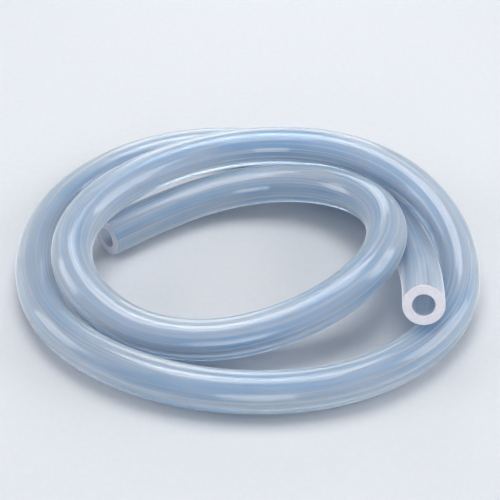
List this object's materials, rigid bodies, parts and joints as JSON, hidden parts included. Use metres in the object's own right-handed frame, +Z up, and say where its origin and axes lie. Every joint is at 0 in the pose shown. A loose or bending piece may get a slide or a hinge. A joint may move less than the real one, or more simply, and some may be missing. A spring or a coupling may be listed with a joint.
{
  "type": "silicone tubing coil",
  "caption": "Loose coil of thick-walled translucent silicone tubing with both ends cut square and bare.",
  "frame": {"origin": "on the surface that the coil lies on, under the middle of its outline", "axes": "+Z up from that surface, +X along the coil's widest extent, +Y from the side with the raised end's face towards the side where the turns cross"},
  "size_m": [0.1729, 0.1598, 0.0321],
  "materials": {
    "silicone": "translucent satin"
  },
  "bodies": {
    "root": {"tubing": "silicone"}
  },
  "joints": []
}
